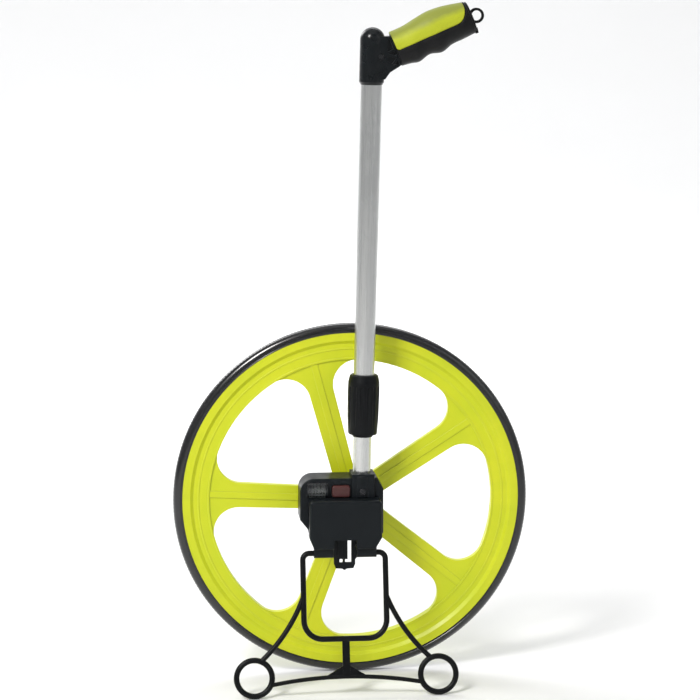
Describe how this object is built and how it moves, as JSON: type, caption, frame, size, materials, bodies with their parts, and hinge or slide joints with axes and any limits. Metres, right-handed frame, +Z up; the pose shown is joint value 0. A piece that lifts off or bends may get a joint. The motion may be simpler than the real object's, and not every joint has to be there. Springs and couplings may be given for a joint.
{
  "type": "measuring wheel",
  "caption": "Distance measuring wheel with spoked rim, geared counter box, telescopic handle, angled grip and fold-up stand.",
  "frame": {"origin": "on the floor under the wheel's centre line, midway between the front of the stand's rings and the back of the hub cap", "axes": "+X to the grip side, +Y to the back of the wheel along its axle, +Z up"},
  "size_m": [0.388, 0.1319, 0.7318],
  "materials": {
    "rim_yellow": "moulded, semi-gloss lime yellow",
    "tyre": "smooth black rubber",
    "box_black": "moulded, fine texture",
    "lens_clear": "clear moulded window",
    "drum_ivory": "moulded",
    "nylon_white": "moulded nylon",
    "button_red": "moulded, dark brownish red",
    "tube_aluminium": "satin anodised",
    "collar_black": "moulded, satin",
    "head_black": "moulded, glossy",
    "grip_yellow": "soft moulded inlay",
    "grip_black": "soft moulded rubber",
    "stand_black": "moulded, satin",
    "steel": "zinc plated",
    "steel_dark": "black oxide",
    "brass": "sintered"
  },
  "bodies": {
    "chassis": {"axle": "steel", "axle_washers": "steel", "axle_nut": "steel", "back_plate": "box_black", "housing": "box_black", "plate_screws": "steel", "front_cover": "box_black", "cover_screws": "steel", "window_lens": "lens_clear", "pointer_bracket": "box_black", "bracket_screws": "steel", "transfer_pin": "steel", "counter_frame": "steel", "carry_shaft": "steel", "carry_pinions": "nylon_white", "lower_tube": "tube_aluminium", "tube_screw": "steel_dark", "guide_bush": "nylon_white", "button_spring": "steel"},
    "road_wheel": {"wheel": "rim_yellow", "tyre": "tyre", "front_bush": "brass", "rear_bush": "brass", "drive_gear": "nylon_white", "hub_cap": "box_black"},
    "transfer": {"transfer_gear": "nylon_white"},
    "units": {"counter_shaft": "steel", "counter_pinion": "nylon_white", "drum_1": "drum_ivory"},
    "tens": {"drum_2": "drum_ivory"},
    "hundreds": {"drum_3": "drum_ivory"},
    "thousands": {"drum_4": "drum_ivory"},
    "ten_thousands": {"drum_5": "drum_ivory"},
    "handle": {"upper_tube": "tube_aluminium", "clamp_collet": "collar_black", "head": "head_black", "head_screw": "steel_dark", "grip_inlay": "grip_yellow", "grip_rubber": "grip_black", "grip_core": "collar_black", "end_cap": "grip_black"},
    "collar": {"twist_collar": "collar_black"},
    "button": {"reset_button": "button_red", "button_clip": "steel"},
    "kickstand": {"stand": "stand_black"}
  },
  "joints": [
    {"name": "wheel_spin", "type": "hinge", "parent": "chassis", "child": "road_wheel", "pos_m": [0, 0.038, 0.19404], "axis": [0, 1, 0], "continuous": true},
    {"name": "transfer_spin", "type": "hinge", "parent": "chassis", "child": "transfer", "pos_m": [-0.01282, 0.012, 0.21004], "axis": [0, 1, 0], "continuous": true},
    {"name": "units_spin", "type": "hinge", "parent": "chassis", "child": "units", "pos_m": [-0.03295, -0.004, 0.21004], "axis": [1, 0, 0], "continuous": true},
    {"name": "tens_spin", "type": "hinge", "parent": "chassis", "child": "tens", "pos_m": [-0.03665, -0.004, 0.21004], "axis": [1, 0, 0], "continuous": true},
    {"name": "hundreds_spin", "type": "hinge", "parent": "chassis", "child": "hundreds", "pos_m": [-0.04035, -0.004, 0.21004], "axis": [1, 0, 0], "continuous": true},
    {"name": "thousands_spin", "type": "hinge", "parent": "chassis", "child": "thousands", "pos_m": [-0.04405, -0.004, 0.21004], "axis": [1, 0, 0], "continuous": true},
    {"name": "ten_thousands_spin", "type": "hinge", "parent": "chassis", "child": "ten_thousands", "pos_m": [-0.04775, -0.004, 0.21004], "axis": [1, 0, 0], "continuous": true},
    {"name": "handle_slide", "type": "slide", "parent": "chassis", "child": "handle", "axis": [0.0244, 0, 0.9997], "range_m": [-0.034, 0.28]},
    {"name": "collar_twist", "type": "hinge", "parent": "handle", "child": "collar", "pos_m": [0.01019, -0.002, 0.30401], "axis": [0.0244, 0, 0.9997], "range_deg": [0, 90]},
    {"name": "button_press", "type": "slide", "parent": "chassis", "child": "button", "axis": [0, 1, 0], "range_m": [0, 0.002], "stiffness_N_per_m": 300, "springref_m": -0.002, "deforming": ["button_spring"]},
    {"name": "stand_fold", "type": "hinge", "parent": "chassis", "child": "kickstand", "pos_m": [-0.0125, -0.024, 0.14804], "axis": [-1, 0, 0], "range_deg": [0, 160]}
  ],
  "couplings": [
    {"joint": "transfer_spin", "follows": "wheel_spin", "ratio": -0.64},
    {"joint": "units_spin", "follows": "wheel_spin", "ratio": -0.4},
    {"joint": "tens_spin", "follows": "wheel_spin", "ratio": -0.04},
    {"joint": "hundreds_spin", "follows": "wheel_spin", "ratio": -0.004},
    {"joint": "thousands_spin", "follows": "wheel_spin", "ratio": -0.0004},
    {"joint": "ten_thousands_spin", "follows": "wheel_spin", "ratio": -0.00004}
  ]
}
